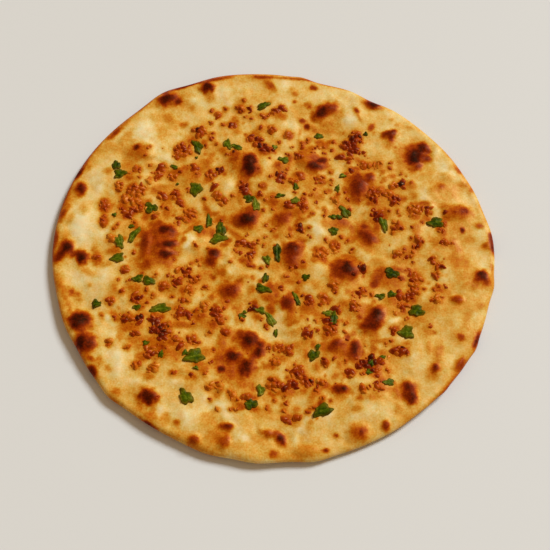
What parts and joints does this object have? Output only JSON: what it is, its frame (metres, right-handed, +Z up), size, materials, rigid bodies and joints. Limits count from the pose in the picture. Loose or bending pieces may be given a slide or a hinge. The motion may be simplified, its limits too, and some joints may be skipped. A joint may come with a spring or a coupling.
{
  "type": "naan bread",
  "caption": "Round flat naan bread with a thin browned edge, charred blisters, toasted garlic chips and chopped herb leaves on top.",
  "frame": {"origin": "middle of the flat underside that the bread rests on", "axes": "+Z up through the thin direction, +X along the widest direction of the top, -Y towards the near edge"},
  "size_m": [0.2371, 0.2304, 0.0101],
  "materials": {
    "crust": "baked wheat crust, satin with a little butter, cream to golden with brown and near-black blisters",
    "garlic": "toasted garlic chips, glossy reddish brown",
    "herb": "chopped green herb leaves, softly oiled"
  },
  "bodies": {
    "root": {"naan_bread": "crust"}
  },
  "joints": []
}
